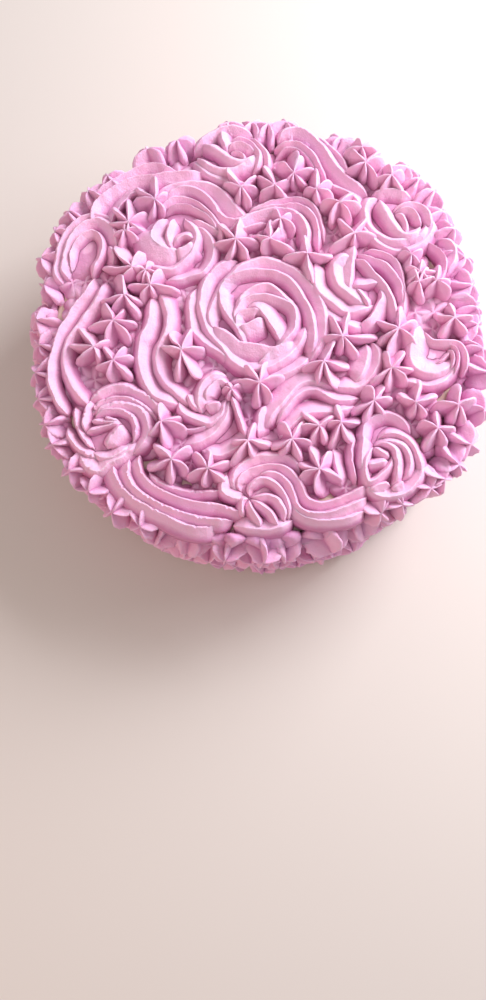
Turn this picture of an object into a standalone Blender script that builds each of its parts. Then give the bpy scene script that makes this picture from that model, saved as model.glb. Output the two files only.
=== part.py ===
"""A round layer cake, coated and then covered all over in piped cream, at its real size.

Each swirl, ribbon and star that the piping bag made is a solid of its own, laid out on
the coated cake as on the real one. The stars round the side melt into each other, so
each of their three rows is one ring.

Metres, +Z up. The origin is the middle of the cake's flat underside.
"""

import math

import bmesh
import bpy
from mathutils import Vector

MM = 0.001

# Driving dimensions in millimetres: an eight inch cake under about six of coat
COAT_RADIUS = 97.0
COAT_HEIGHT = 58.0
COAT_EDGE = 3.0
COAT_STEPS = 48
GAP = 0.3
TOP = COAT_HEIGHT + GAP

# Side rings of stars
SIDE_ROWS = ("low", "middle", "high")
STARS_ROUND = 36
STAR_TIP_RADIUS = 110.0
STAR_EDGE_RADIUS = 104.0
STAR_VALLEY_RADIUS = 101.0

# Stars on top
STAR_POINTS = 5
STAR_RADIUS = 9.0
STAR_HEIGHT = 11.0
STAR_VALLEY = 0.46
STAR_TURN = 0.5

# Ribbons: half width and height of the rope of cream
RIBBON_HALF = 6.2
RIBBON_HEIGHT = 11.0
RIBBON_STEPS = 2

# Swirls are finer where they are wider: the length of a step round the edge, and the
# width of a ring, with how deep the groove between two ridges goes
SWIRL_STEP = 6.0
SWIRL_RING = 3.2
SWIRL_GROOVE = 0.32

# Swirls: centre, radius, height, where the eye sits, ridges, turns, sense of rotation
SWIRLS = {
    "swirl_centre": ((1.5, 6.5), 31.5, 16.5, (1.0, -2.0), 1, 2.3, 1),
    "swirl_back": ((-1.0, 90.5), 14.5, 13.0, (2.5, 0.5), 4, 0.9, 1),
    "swirl_back_right": ((74.5, 47.0), 15.5, 14.0, (1.5, -1.0), 3, 1.0, 1),
    "swirl_back_left": ((-33.5, 46.0), 17.0, 14.0, (-0.5, -1.0), 3, 1.1, -1),
    "swirl_left_arch": ((-77.0, 48.0), 14.0, 12.0, (1.0, -2.0), 1, 1.6, 1),
    "swirl_right": ((53.5, 13.5), 19.0, 15.0, (0.5, -1.0), 3, 1.1, -1),
    "swirl_right_rim": ((83.0, -23.5), 12.5, 12.0, (3.5, -1.0), 3, 1.0, -1),
    "swirl_front_left": ((-69.5, -40.5), 18.5, 13.5, (3.5, 0.5), 4, 1.0, 1),
    "swirl_pressed": ((-22.0, -37.5), 14.5, 11.5, (1.0, 5.0), 2, 0.9, -1),
    "swirl_front_right": ((57.0, -65.0), 15.5, 14.0, (1.0, -3.0), 4, 0.9, 1),
    "swirl_front": ((-3.5, -78.0), 15.5, 13.0, (-4.0, 1.0), 6, 0.5, 1),
}

# Ribbons: the middle line of each rope of cream, from its start to its tail
RIBBONS = {
    "ribbon_back_left": ((-20, 82), (-33, 83.5), (-46, 82), (-57, 77), (-64, 69.5)),
    "ribbon_wave": ((-29, 70.5), (-18, 69.5), (-2, 59.5), (14, 58.5), (27, 56.5), (33, 50)),
    "ribbon_back_right": ((19, 94), (28, 94.5), (36, 89), (42, 79), (50, 70), (57, 64.5)),
    "ribbon_left": ((-71, 27.5), (-76, 19.5), (-84.5, 11), (-90, 2), (-91.5, -8), (-89, -19)),
    "ribbon_inner_left": ((-41.5, 22), (-42, 12), (-46.5, 2), (-48.5, -9), (-44, -20), (-37.5, -27)),
    "ribbon_front_left": ((-62, -61.5), (-58.5, -70), (-48, -77.5), (-35, -83), (-24, -85.5)),
    "ribbon_front_right": ((15, -84), (22, -87.5), (31, -88), (39, -84.5)),
    "ribbon_hook": ((51.5, -17), (51, -26), (43, -33), (31, -35), (20, -37), (11, -44), (5.5, -49.5)),
    "ribbon_stub": ((38, -60.5), (37.5, -66), (36.5, -72)),
    "ribbon_rim": ((88, 33), (92, 27.5), (92.5, 20)),
}

# Stars on top, by part of the cake: where each stands
STARS = {
    "back": ((1.5, 71), (18, 70.5), (27.5, 78.5), (36, 68.5), (47, 58), (63, 78.5)),
    "back_left": ((-43, 69), (-55, 61.5), (-57, 36.5), (-50.5, 28.5)),
    "left": ((-59, 20.5), (-66.5, 9.5), (-76, -2), (-65.5, -10.5)),
    "front_left": ((-44, -41.5), (-44.5, -59), (-27, -66.5)),
    "front": ((-5.5, -56.5), (13.5, -57.5), (24.5, -51), (36, -49.5), (23.5, -71)),
    "middle": ((-35.5, -6.5), (1.5, -31.5), (41, -9), (31, -21), (29, 37.5), (-8, 46.5), (10, 47)),
    "right": ((50.5, 41.5), (65.5, -8.5), (63, -27.5), (56, -41), (71, -45), (83, 10.5)),
}

# Colours of the cream and of the coat, in linear light, and how shiny they are
PINK = (0.82, 0.42, 0.62)
PINK_DEEP = (0.70, 0.30, 0.48)
IVORY = (0.81, 0.72, 0.58)
CREAM_ROUGHNESS = 0.55


def clear_scene():
    for thing in list(bpy.data.objects):
        bpy.data.objects.remove(thing, do_unlink=True)


def collection_named(name, hidden=False):
    """A collection of the scene. A hidden one holds guides."""
    group = bpy.data.collections.new(name)
    group.hide_render = hidden
    bpy.context.scene.collection.children.link(group)
    return group


def cream(name, colour):
    """A Principled material of one colour."""
    material = bpy.data.materials.new(name)
    material.use_nodes = True
    shader = material.node_tree.nodes["Principled BSDF"]
    shader.inputs["Base Color"].default_value = (*colour, 1.0)
    shader.inputs["Roughness"].default_value = CREAM_ROUGHNESS
    shader.inputs["Metallic"].default_value = 0.0
    return material


def placed(name, data, group, material, place=(0.0, 0.0, 0.0), turn=0.0):
    """An object of this data in the group, at a place in millimetres, turned about Z."""
    thing = bpy.data.objects.new(name, data)
    thing.location = Vector(place) * MM
    thing.rotation_euler = (0.0, 0.0, turn)
    if material is not None:
        data.materials.append(material)
    group.objects.link(thing)
    return thing


def turned(name, outline, steps, closed=False):
    """A mesh: an outline of (radius, height) points in millimetres, spun about Z.

    An open outline starts and ends on the axis. A closed one makes a ring.
    """
    body = bmesh.new()
    points = [body.verts.new(Vector((r, 0.0, z)) * MM) for r, z in outline]
    pairs = list(zip(points, points[1:]))
    if closed:
        pairs.append((points[-1], points[0]))
    for first, second in pairs:
        body.edges.new((first, second))
    bmesh.ops.spin(
        body,
        geom=body.verts[:] + body.edges[:],
        cent=(0, 0, 0),
        axis=(0, 0, 1),
        angle=math.tau,
        steps=steps,
        use_merge=True,
    )
    bmesh.ops.remove_doubles(body, verts=body.verts[:], dist=1e-6)
    bmesh.ops.recalc_face_normals(body, faces=body.faces[:])
    return body


def as_mesh(body, name, smooth=False):
    mesh = bpy.data.meshes.new(name)
    body.to_mesh(mesh)
    body.free()
    if smooth:
        mesh.shade_smooth()
    return mesh


def angle_share(vertex):
    """How far round the axis a vertex stands, from 0 to 1."""
    return math.atan2(vertex.co.y, vertex.co.x) / math.tau % 1.0


def coated_cake(group, material):
    """The cake under its smooth coat: a plain turned solid with a rounded top edge."""
    outline = (
        (0.0, 0.0),
        (COAT_RADIUS, 0.0),
        (COAT_RADIUS, COAT_HEIGHT - COAT_EDGE),
        (COAT_RADIUS - 0.3 * COAT_EDGE, COAT_HEIGHT - 0.3 * COAT_EDGE),
        (COAT_RADIUS - COAT_EDGE, COAT_HEIGHT),
        (0.0, COAT_HEIGHT),
    )
    body = turned("coated_cake", outline, COAT_STEPS)
    placed("coated_cake", as_mesh(body, "coated_cake", smooth=True), group, material)


def side_ring(number, row, group, material):
    """One ring of stars: spun as a band, then each star's tip is pulled out of it.

    The band is three points high, and two columns wide for each star: the tip's column,
    and the valley between two stars. Each row is turned half a star from the one below.
    """
    pitch = COAT_HEIGHT / len(SIDE_ROWS)
    low = number * pitch
    high = low + pitch - GAP
    inner = COAT_RADIUS + GAP
    middle = (low + high) / 2
    outline = (
        (inner, low),
        (STAR_EDGE_RADIUS, low),
        (STAR_EDGE_RADIUS, middle),
        (STAR_EDGE_RADIUS, high),
        (inner, high),
    )
    name = "side_stars_" + row
    body = turned(name, outline, 2 * STARS_ROUND, closed=True)
    for vertex in body.verts:
        radius = vertex.co.xy.length / MM
        if radius < (inner + STAR_EDGE_RADIUS) / 2:
            continue
        column = round(angle_share(vertex) * 2 * STARS_ROUND)
        in_middle = abs(vertex.co.z / MM - middle) < pitch / 4
        if (column + number) % 2:
            wanted = STAR_VALLEY_RADIUS
        elif in_middle:
            wanted = STAR_TIP_RADIUS
        else:
            wanted = STAR_EDGE_RADIUS
        vertex.co.xy *= wanted / radius
    placed(name, as_mesh(body, name), group, material)


def swirl(name, spec, group, material):
    """A swirl of cream: a turned dome whose rings rise and sink along a spiral.

    With one ridge it is a rope wound round and round, and with several a pinwheel.
    """
    centre, radius, height, eye, ridges, turns, sense = spec
    rings = max(5, round(radius / SWIRL_RING))
    steps = max(20, round(math.tau * radius / SWIRL_STEP))
    outline = [(0.0, 0.0), (0.92 * radius, 0.0), (radius, 0.34 * height)]
    for ring in range(rings - 1, 0, -1):
        share = ring / rings
        outline.append((0.97 * radius * share, height * (1 - 0.42 * share**2)))
    outline.append((0.0, height))
    body = turned(name, outline, steps)
    for vertex in body.verts:
        out = min(1.0, vertex.co.xy.length / (radius * MM))
        if vertex.co.z < 0.01 * height * MM:
            continue
        phase = ridges * angle_share(vertex) + sense * turns * (1 - out)
        crest = 0.5 + 0.5 * math.cos(math.tau * phase)
        vertex.co.z *= 1 - SWIRL_GROOVE * min(1.0, 3 * out) * (1 - crest)
        lean = (1 - out) * MM
        vertex.co.x += eye[0] * lean
        vertex.co.y += eye[1] * lean
    placed(name, as_mesh(body, name), group, material, (*centre, TOP))


def ribbon_profile(guides):
    """The section of a rope of cream: flat below, two ridges with a groove above."""
    section = (
        (-0.90, 0.0),
        (0.90, 0.0),
        (1.00, 0.36),
        (0.55, 1.00),
        (0.00, 0.66),
        (-0.55, 0.95),
        (-1.00, 0.36),
    )
    data = bpy.data.curves.new("ribbon_section", "CURVE")
    data.dimensions = "2D"
    data.fill_mode = "NONE"
    spline = data.splines.new("POLY")
    spline.points.add(len(section) - 1)
    spline.use_cyclic_u = True
    for point, (across, up) in zip(spline.points, reversed(section)):
        point.co = (across * RIBBON_HALF * MM, up * RIBBON_HEIGHT * MM, 0.0, 1.0)
    guide = placed("ribbon_section", data, guides, None)
    guide.hide_render = True
    guide.display_type = "WIRE"
    return guide


def ribbon(name, places, profile, group, material):
    """A ridged rope of cream along a smooth line, thinner where it starts and ends."""
    data = bpy.data.curves.new(name, "CURVE")
    data.dimensions = "3D"
    data.twist_mode = "Z_UP"
    data.bevel_mode = "OBJECT"
    data.bevel_object = profile
    data.use_fill_caps = True
    data.resolution_u = RIBBON_STEPS
    spline = data.splines.new("BEZIER")
    spline.bezier_points.add(len(places) - 1)
    for number, (point, place) in enumerate(zip(spline.bezier_points, places)):
        point.co = (place[0] * MM, place[1] * MM, 0.0)
        point.handle_left_type = "AUTO"
        point.handle_right_type = "AUTO"
        at_end = number in (0, len(places) - 1)
        wanted = RIBBON_HALF * (0.8 if at_end else 1.0)
        point.radius = min(wanted, room_for_ribbon(place)) / RIBBON_HALF
    placed(name, data, group, material, (0.0, 0.0, TOP))


def room_for_ribbon(place):
    """How wide to each side a ribbon may be here before it meets a swirl."""
    return min(math.dist(place, spec[0]) - spec[1] for spec in SWIRLS.values()) - GAP


def line_samples(places, steps=8):
    """Points along the straight runs between these places, with their half widths."""
    for start, end in zip(places, places[1:]):
        for step in range(steps + 1):
            share = step / steps
            point = tuple(a + share * (b - a) for a, b in zip(start, end))
            yield point, min(RIBBON_HALF, max(room_for_ribbon(point), 1.0))


def room_for_star(place):
    """The largest radius that keeps a star here clear of its neighbours."""
    rooms = [math.dist(place, spec[0]) - spec[1] for spec in SWIRLS.values()]
    for places in RIBBONS.values():
        rooms += [math.dist(place, point) - half for point, half in line_samples(places)]
    for others in STARS.values():
        rooms += [math.dist(place, other) / 2 for other in others if other != place]
    return min(rooms) - GAP


def star(name, place, turn, group, material):
    """A star of cream: a turned drop whose every second column is pressed in."""
    radius = min(STAR_RADIUS, room_for_star(place))
    outline = (
        (0.0, 0.0),
        (0.88 * radius, 0.0),
        (radius, 0.32 * STAR_HEIGHT),
        (0.62 * radius, 0.74 * STAR_HEIGHT),
        (0.0, STAR_HEIGHT),
    )
    columns = 2 * STAR_POINTS
    body = turned(name, outline, columns)
    for vertex in body.verts:
        if round(angle_share(vertex) * columns) % 2:
            vertex.co.xy *= STAR_VALLEY
    placed(name, as_mesh(body, name), group, material, (*place, TOP), turn)


def build():
    clear_scene()
    group = collection_named("piped_cream_cake")
    guides = collection_named("guides", hidden=True)
    pink = cream("pink_cream", PINK)
    side_pink = cream("pink_cream_side", PINK_DEEP)
    ivory = cream("ivory_coat", IVORY)
    coated_cake(group, ivory)
    for number, row in enumerate(SIDE_ROWS):
        side_ring(number, row, group, side_pink)
    for name, spec in SWIRLS.items():
        swirl(name, spec, group, pink)
    profile = ribbon_profile(guides)
    for name, places in RIBBONS.items():
        ribbon(name, places, profile, group, pink)
    for part, places in STARS.items():
        for number, place in enumerate(places, 1):
            star(f"star_{part}_{number}", place, number * STAR_TURN, group, pink)


build()
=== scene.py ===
# %% [markdown]
# This lesson finishes a celebration cake that is covered all over in piped pink cream.
# The frame already holds its solids at real size: the coated cake, three rings of stars
# round the side, and the swirls, ribbons and stars on top. The lesson keeps every piece
# where the frame has it and gives it the real surface: sharp ridges, deep grooves, torn
# edges and soft, slightly see-through cream. All shapes are worked out in millimetres.

# %% Load the frame
import math

import bpy
import numpy as np
from mathutils import Matrix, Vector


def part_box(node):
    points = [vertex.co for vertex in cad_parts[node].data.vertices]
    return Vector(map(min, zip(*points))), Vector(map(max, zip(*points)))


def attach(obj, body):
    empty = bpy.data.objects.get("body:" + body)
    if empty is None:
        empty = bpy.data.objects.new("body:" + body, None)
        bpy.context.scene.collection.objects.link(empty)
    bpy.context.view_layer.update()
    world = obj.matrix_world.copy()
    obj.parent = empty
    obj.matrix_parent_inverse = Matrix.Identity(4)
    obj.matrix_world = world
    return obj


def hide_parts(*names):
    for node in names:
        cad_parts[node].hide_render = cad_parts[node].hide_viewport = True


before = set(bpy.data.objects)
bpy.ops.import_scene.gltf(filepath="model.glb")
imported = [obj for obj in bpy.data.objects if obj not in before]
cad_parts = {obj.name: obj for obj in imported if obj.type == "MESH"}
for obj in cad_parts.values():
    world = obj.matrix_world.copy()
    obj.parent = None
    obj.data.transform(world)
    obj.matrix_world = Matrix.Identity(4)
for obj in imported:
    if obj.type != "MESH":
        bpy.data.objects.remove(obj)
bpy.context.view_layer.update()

MM = 0.001
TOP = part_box("coated_cake")[1].z / MM
print("top of the coat", round(TOP, 1), "mm, pieces in the frame", len(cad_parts))

# %% [markdown]
# A piping nozzle is a cone with a star cut into its end, so a press of the bag leaves a
# drop with a few tall thin fins and deep grooves between them. One function gives the
# section once round: the angles, how far each lies from its fin, a ridge value from 0 in
# a groove to 1 on a fin, and the fin's number. The material paints with the ridge value
# later: painted shade in the grooves and a painted highlight along the fins. The points
# crowd at each fin, where the surface turns fastest.

# %% The nozzle's section
ACROSS_FIN = np.array(
    [-1.0, -0.8, -0.58, -0.4, -0.27, -0.15, -0.05, 0.05, 0.15, 0.27, 0.4, 0.58, 0.8]
)


def nozzle_section(centres):
    """Angles, angles away from the fin, ridge values and fin numbers, for these fins."""
    after = np.append(centres[1:], centres[0] + math.tau)
    grooves = (centres + after) / 2
    before = np.append(grooves[-1] - math.tau, grooves[:-1])
    t = ACROSS_FIN[None, :]
    away = np.where(t < 0, (centres - before)[:, None], (grooves - centres)[:, None]) * t
    angles = (centres[:, None] + away).ravel()
    ridge = np.tile(1 - np.abs(ACROSS_FIN), len(centres))
    fin = np.repeat(np.arange(len(centres)), len(ACROSS_FIN))
    return angles, np.abs(away).ravel(), ridge, fin


# %% [markdown]
# Stars and ribbons are both skins: rings of points, one after the other, closed at both
# ends. Blender could make them with a curve and a bevel profile, but then the ridges
# could not wander, tear or fade along the way. So the rings are plain arrays, and one
# function joins them with faces and keeps the ridge value of every point.

# %% Skins from rings of points
# Ridge values of the two points that close a skin at its first and its last ring: they
# set the painted light there, low for painted shade, high for a painted highlight
END_PAINTED_LIGHT = [0.3, 0.9]


def skin(rings, ridge):
    """Points, faces and ridge values of a closed skin. rings is rows x columns x 3."""
    rows, columns, _ = rings.shape
    points = np.concatenate([rings.reshape(-1, 3), rings[:1].mean(1), rings[-1:].mean(1)])
    values = np.concatenate([np.asarray(ridge).ravel(), END_PAINTED_LIGHT])
    here = np.arange(rows * columns).reshape(rows, columns)
    there = np.roll(here, -1, axis=1)
    quads = np.stack([here[:-1], there[:-1], there[1:], here[1:]], -1).reshape(-1, 4)
    start, end = rows * columns, rows * columns + 1
    first = [(start, b, a) for a, b in zip(here[0], there[0])]
    last = [(end, a, b) for a, b in zip(here[-1], there[-1])]
    return points, quads.tolist() + first + last, values


def piece(name, skins, material, node=None):
    """One object from one or more skins. It rides on the cake and stands for its node."""
    points, faces, values, offset = [], [], [], 0
    for some_points, some_faces, some_values in skins:
        points.append(some_points)
        faces += [[corner + offset for corner in face] for face in some_faces]
        values.append(some_values)
        offset += len(some_points)
    mesh = bpy.data.meshes.new(name)
    mesh.from_pydata((np.concatenate(points) * MM).tolist(), [], faces)
    # The ridge values go to the material, which paints shade in the grooves and highlights on the
    # crests from them
    layer = mesh.attributes.new("ridge", "FLOAT", "POINT")
    layer.data.foreach_set("value", np.concatenate(values).astype(np.float32))
    mesh.shade_smooth()
    mesh.materials.append(material)
    thing = bpy.data.objects.new(name, mesh)
    bpy.context.scene.collection.objects.link(thing)
    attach(thing, "root")
    if node:
        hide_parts(node)
    return thing


def swell(points, size, height, seed):
    """Moves points by a smooth random field, so that no two pieces come out alike."""
    dice = np.random.default_rng(seed)
    moved = np.zeros_like(points)
    for share in (1.0, 0.5):
        for axis in range(3):
            direction = dice.normal(size=(3, 3))
            direction *= math.tau / (size * share) / np.linalg.norm(direction, axis=1)[:, None]
            waves = np.sin(points @ direction.T + dice.uniform(0, math.tau, 3))
            moved[:, axis] += waves.mean(1) * height * share
    return points + moved


# %% [markdown]
# The cream is whipped cream or buttercream with pink colouring: mostly tiny fat and air
# bubbles, so it scatters light inside. That gives soft shadow edges, light ridges and a
# deeper, warmer pink in the grooves, where light bounces from pink to pink; the colour
# adds to this a painted highlight on the ridges and painted shade in the grooves. The
# finish is half matte, with fine pores. Colours are sRGB hex values turned to linear in
# one place, and the size of each pattern is given as it would be measured on the cream,
# in metres.

# %% Colours and nodes
def linear(code):
    """An sRGB hex value as linear light, for a colour socket."""
    parts = [int(code[i:i + 2], 16) / 255 for i in (1, 3, 5)]
    light = [p / 12.92 if p <= 0.04045 else ((p + 0.055) / 1.055) ** 2.4 for p in parts]
    return (*light, 1.0)


def new_material(name):
    """A material with its node tree and its shader."""
    material = bpy.data.materials.new(name)
    material.use_nodes = True
    return material, material.node_tree, material.node_tree.nodes["Principled BSDF"]


def add(tree, kind, settings=None, **links):
    """Adds a node. Settings are its properties, or numbers and colours for its inputs."""
    node = tree.nodes.new(kind)
    for key, value in (settings or {}).items():
        if isinstance(key, str) and hasattr(node, key):
            setattr(node, key, value)
        else:
            node.inputs[key].default_value = value
    for key, source in links.items():
        tree.links.new(source, node.inputs[key.replace("_", " ")])
    return node


def noise(tree, size, detail, roughness=0.5):
    """A noise pattern in the cake's own space, with spots of about this size."""
    place = add(tree, "ShaderNodeTexCoord").outputs["Object"]
    settings = {"Scale": 1 / size, "Detail": detail, "Roughness": roughness}
    return add(tree, "ShaderNodeTexNoise", settings, Vector=place).outputs["Fac"]


def bump(tree, pattern, strength, distance, **below):
    """The normal of a surface that rises by distance where the pattern is light."""
    settings = {"Strength": strength, "Distance": distance}
    return add(tree, "ShaderNodeBump", settings, Height=pattern, **below).outputs["Normal"]


def ramp(tree, source, stops):
    """A colour ramp with the given (place, hex) stops."""
    node = add(tree, "ShaderNodeValToRGB", None, Fac=source)
    line = node.color_ramp.elements
    while len(line) < len(stops):
        line.new(0.5)
    for stop, (place, code) in zip(line, stops):
        stop.position = place
        stop.color = linear(code)
    return node.outputs["Color"]


# %% [markdown]
# The pink cream mixes its colour from the ridge value, with painted shade in the grooves
# and a painted highlight on the crests, breaks it up with noise, and lays a cooler tint
# over it in patches, as the colouring isn't stirred in evenly.

# %% Pink whipped cream
def whipped_cream(name, groove, face, crest, cool):
    """Pink whipped cream: painted shade for the grooves, the colour of the faces, a painted
    highlight for the crests, and a cooler tint.
    """
    material, tree, shader = new_material(name)
    ridge = add(tree, "ShaderNodeAttribute", {"attribute_name": "ridge"})
    # The painted highlight lines on the crests come and go
    less = add(tree, "ShaderNodeMath", {"operation": "MULTIPLY_ADD", 1: -0.3, 2: 0.1})
    tree.links.new(noise(tree, 0.006, 3.0), less.inputs[0])
    level = add(tree, "ShaderNodeMath", {"operation": "ADD"})
    tree.links.new(ridge.outputs["Fac"], level.inputs[0])
    tree.links.new(less.outputs[0], level.inputs[1])
    # Painted shade in the grooves, the cream's own pink on the faces, a painted highlight on the
    # crests
    stops = ((0.0, groove), (0.4, face), (0.8, face), (1.0, crest))
    pink = ramp(tree, level.outputs[0], stops)
    # The cooler patches are about 30 mm wide
    share = ramp(tree, noise(tree, 0.03, 2.0), ((0.4, "#000000"), (0.7, "#8c8c8c")))
    settings = {"data_type": "RGBA", "blend_type": "MULTIPLY", 7: linear(cool)}
    tint = add(tree, "ShaderNodeMix", settings)
    tree.links.new(share, tint.inputs[0])
    tree.links.new(pink, tint.inputs[6])
    tree.links.new(tint.outputs[2], shader.inputs["Base Color"])
    # Where petals meet, cream runs together: the shading rounds the corners a little
    rounded = add(tree, "ShaderNodeBevel", {"samples": 4, "Radius": 0.0006})
    # Pores are under a millimetre across, and burst bubbles a few millimetres apart
    pores = noise(tree, 0.0008, 4.0, 0.65)
    fine = bump(tree, pores, 0.7, 0.0005, Normal=rounded.outputs["Normal"])
    soft = bump(tree, noise(tree, 0.0035, 3.0), 0.45, 0.0012, Normal=fine)
    tree.links.new(soft, shader.inputs["Normal"])
    shader.inputs["Roughness"].default_value = 0.52
    shader.inputs["IOR"].default_value = 1.45
    shader.inputs["Specular IOR Level"].default_value = 0.35
    shader.inputs["Subsurface Weight"].default_value = 0.2
    shader.inputs["Subsurface Radius"].default_value = (1.0, 0.45, 0.6)
    shader.inputs["Subsurface Scale"].default_value = 0.0016
    return material


# Groove, face, crest and cool colours: the groove colour is painted shade, the crest colour a
# painted highlight
TOP_COLOURS = ("#d088b0", "#eebbd6", "#f6d8e8", "#e8dffa")
# The side and rim copy of the same cream has lighter grooves and dimmer crests: softer painted
# shade and highlight for the side
SIDE_COLOURS_SOFTER_PAINTED_LIGHT = ("#d896be", "#edb8d5", "#f2c9e0", "#e6dcfa")
TOP_CREAM = whipped_cream("pink_whipped_cream", *TOP_COLOURS)
SIDE_CREAM_SOFTER_PAINTED_LIGHT = whipped_cream("pink_whipped_cream_side_softer_painted_light", *SIDE_COLOURS_SOFTER_PAINTED_LIGHT)

# %% [markdown]
# The coat is a smooth layer of plain cream, scraped flat with a palette knife before the
# pink was piped on. It shows as ivory in the gaps and along the rim. A turned shape with
# a rounded edge would do, but the knife leaves shallow waves, so the rings get a little
# swell, and the material gets faint blotches.

# %% The coat
def ivory_coat_material():
    """Plain ivory cream, smoothed with a knife."""
    material, tree, shader = new_material("ivory_cream_coat")
    streaks = noise(tree, 0.02, 4.0)
    colour = ramp(tree, streaks, ((0.3, "#e6d2b8"), (0.7, "#f3e7d2")))
    tree.links.new(colour, shader.inputs["Base Color"])
    tree.links.new(bump(tree, streaks, 0.3, 0.001), shader.inputs["Normal"])
    shader.inputs["Roughness"].default_value = 0.55
    shader.inputs["Subsurface Weight"].default_value = 0.15
    shader.inputs["Subsurface Radius"].default_value = (1.0, 0.7, 0.4)
    shader.inputs["Subsurface Scale"].default_value = 0.002
    return material


COAT_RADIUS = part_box("coated_cake")[1].x / MM
EDGE = 4.0  # radius of the rounded edge
FOOT = 1.0  # below this height the coat stays true, so that it stands flat
WAVE_LENGTH, WAVE_HEIGHT = 45.0, 0.5
profile = [(COAT_RADIUS * share, 0.0) for share in (0.4, 0.8, 1.0)]
profile += [(COAT_RADIUS, TOP * share) for share in (0.2, 0.4, 0.6, 0.8)]
profile += [
    (COAT_RADIUS - EDGE * (1 - math.cos(a)), TOP - EDGE * (1 - math.sin(a)))
    for a in np.linspace(0, math.pi / 2, 6)
]
profile += [(COAT_RADIUS * share, TOP) for share in (0.9, 0.8, 0.65, 0.5, 0.35, 0.2, 0.05)]
turn = np.linspace(0, math.tau, 160, endpoint=False)
rings = np.array([[(r * math.cos(a), r * math.sin(a), z) for a in turn] for r, z in profile])
flat = rings.reshape(-1, 3)
waved = np.where(flat[:, 2:] > FOOT, swell(flat, WAVE_LENGTH, WAVE_HEIGHT, 3), flat)
coat_skin = skin(waved.reshape(rings.shape), np.zeros(rings.shape[:2]))
coat = piece("cream_coat", [coat_skin], ivory_coat_material(), "coated_cake")
print("coat", len(coat.data.polygons), "faces")

# %% [markdown]
# A star is pressed out and the bag lifted off: five or six fins round a small peak. Each
# fin stands upright like half a disc: level near the peak, round at its outer end, thin
# along the top and thick at the root. The rings go from the foot to the peak, and each
# ring is the outline of crossed bars, cut off at the length the fin has at that height.
# Every fin has its own length and direction, and leans a little, so no two stars match.

# %% A star
THIN = 0.4  # half the thickness of a fin along its top
SQUARE = 3  # the higher, the squarer the ends of the bars
# Shares of a star's height: its widest ring, the top over it, the foot under it, the
# small peak in the middle, and how much lower a groove lies than a fin
WIDEST, TOP_SHARE, FOOT_SHARE, PEAK_SHARE, GROOVE_SHARE = 0.4, 0.8, 0.6, 0.08, 0.12
FIN_LEAN, STAR_TURN = 0.38, 0.15  # how far one fin leans over, and all of them, in radians
LOWEST = 0.1  # the lowest stars are pressed flat where they touch what the cake stands on


def star(place, tips, height, seed, tilt=(0.0, 0.0), thick=3.1, rows=14, torn=0.0, pale=1.0):
    """A piped star at a place, with a fin to each tip (x, y from the middle).

    The surface it stands on leans by tilt: an angle, and the direction it leans to. thick
    is half the thickness of a fin at its root, torn is how ragged the edges of the fins
    are, both in millimetres, and pale scales the painted light of the fins: lower values
    paint them darker, as painted shade.
    """
    dice = np.random.default_rng(seed)
    tips = sorted(tips, key=lambda tip: math.atan2(tip[1], tip[0]))
    directions = np.array([math.atan2(y, x) for x, y in tips])
    angles, away, ridge, fin = nozzle_section(directions)
    lengths = np.array([math.hypot(x, y) for x, y in tips])[fin]
    size = lengths.mean()
    lean = dice.uniform(-FIN_LEAN, FIN_LEAN, len(tips))[fin] + dice.uniform(-STAR_TURN, STAR_TURN)
    offset = dice.uniform(-0.06, 0.06, 2) * size
    rings, values = [], []
    for rise in np.linspace(-1.0, math.pi / 2 * 0.985, rows):
        up = max(math.sin(rise), 0.0)
        half = THIN + (thick - THIN) * (1 - up) ** 0.8
        beside = np.sin(np.minimum(away, 1.5)) / half
        bar = (lengths * math.cos(rise) ** 0.45) ** -SQUARE + beside**SQUARE
        ragged = torn * dice.uniform(-1, 0.6, len(tips))[fin] * ridge**3
        reach = bar ** (-1 / SQUARE) + ragged
        bend = angles + lean * up
        share = TOP_SHARE * up if rise > 0 else FOOT_SHARE * math.sin(rise)
        z = height * (WIDEST + share)
        z = z + PEAK_SHARE * height * up**8 - GROOVE_SHARE * height * up * (1 - ridge)
        x = reach * np.cos(bend) + offset[0] * up
        y = reach * np.sin(bend) + offset[1] * up
        rings.append(np.stack([x, y, z], -1))
        # Painted light: lighter on the fins, painted shade in the grooves and towards the foot,
        # all scaled by pale
        values.append(ridge * (0.45 + 0.55 * up**0.5) * pale)
    rings = np.array(rings)
    angle, around = tilt
    there, back = Matrix.Rotation(around, 3, "Z"), Matrix.Rotation(-around, 3, "Z")
    turned = there @ Matrix.Rotation(angle, 3, "Y") @ back
    flat = rings.reshape(-1, 3) @ np.array(turned).T + np.array(place)
    rings = swell(flat, 9.0, 0.04 * size, seed + 1).reshape(rings.shape)
    rings[..., 2] = np.maximum(rings[..., 2], LOWEST)
    return skin(rings, np.array(values))


def round_tips(count, radius, seed, uneven=0.22):
    """Tips all round, at uneven angles and distances."""
    dice = np.random.default_rng(seed)
    start = dice.uniform(0, math.tau)
    steps = np.arange(count) + dice.uniform(-uneven, uneven, count)
    angles = start + math.tau * steps / count
    lengths = radius * dice.uniform(0.8, 1.15, count)
    return [(r * math.cos(a), r * math.sin(a)) for r, a in zip(lengths, angles)]


# %% [markdown]
# A ribbon or a swirl follows a line. The line's points come from a few places through a
# smooth curve, spaced evenly so that the faces come out alike.

# %% Smooth lines
STEP = 0.8  # from point to point, in millimetres


def read_places(text):
    """The places of a text such as "25,-19 30,-13"."""
    return [[float(v) for v in place.split(",")] for place in text.split()]


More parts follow.
